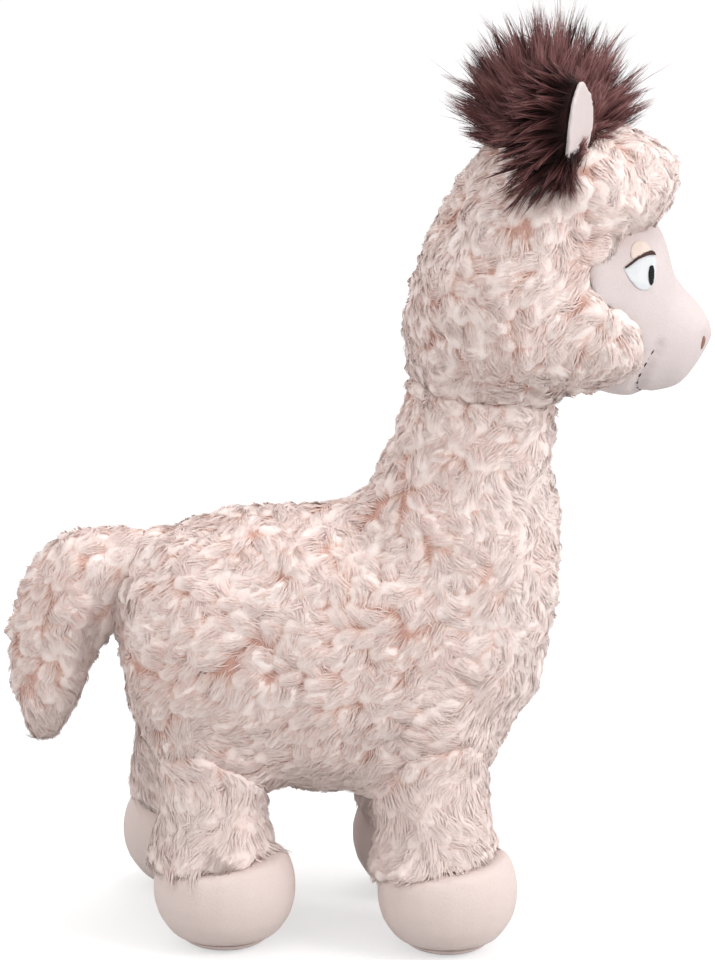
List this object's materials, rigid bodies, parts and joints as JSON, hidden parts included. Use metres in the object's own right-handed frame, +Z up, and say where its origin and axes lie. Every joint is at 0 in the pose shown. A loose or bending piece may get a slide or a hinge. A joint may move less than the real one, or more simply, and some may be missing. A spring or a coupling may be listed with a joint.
{
  "type": "plush alpaca",
  "caption": "Standing soft toy alpaca with a curly fleece, smooth face and feet, a long-pile tuft on the head and a drooping tail.",
  "frame": {"origin": "on the ground, under the middle of the toy's length and width", "axes": "+Z up, +X the way the alpaca faces, +Y its left side"},
  "size_m": [0.3268, 0.1388, 0.4258],
  "materials": {
    "fleece": "curly long-pile plush, cream pink over salmon",
    "velour": "short smooth plush",
    "long_pile": "straight long-pile fur, dark brown",
    "white_thread": "satin stitch embroidery",
    "lid_thread": "satin stitch embroidery",
    "black_thread": "satin stitch embroidery",
    "brown_thread": "embroidery thread",
    "nose_thread": "satin stitch embroidery"
  },
  "bodies": {
    "root": {"body": "fleece", "head": "fleece", "face": "velour", "tail": "fleece", "topknot": "long_pile", "mouth_stitching": "brown_thread", "ear_lining_right": "velour", "ear_fur_right": "long_pile", "eye_white_right": "white_thread", "eyelid_right": "lid_thread", "eye_pupil_right": "black_thread", "eye_lash_right": "brown_thread", "nostril_right": "nose_thread", "ear_lining_left": "velour", "ear_fur_left": "long_pile", "eye_white_left": "white_thread", "eyelid_left": "lid_thread", "eye_pupil_left": "black_thread", "eye_lash_left": "brown_thread", "nostril_left": "nose_thread", "leg_front_right": "fleece", "foot_front_right": "velour", "sole_front_right": "velour", "leg_front_left": "fleece", "foot_front_left": "velour", "sole_front_left": "velour", "leg_rear_right": "fleece", "foot_rear_right": "velour", "sole_rear_right": "velour", "leg_rear_left": "fleece", "foot_rear_left": "velour", "sole_rear_left": "velour"}
  },
  "joints": []
}
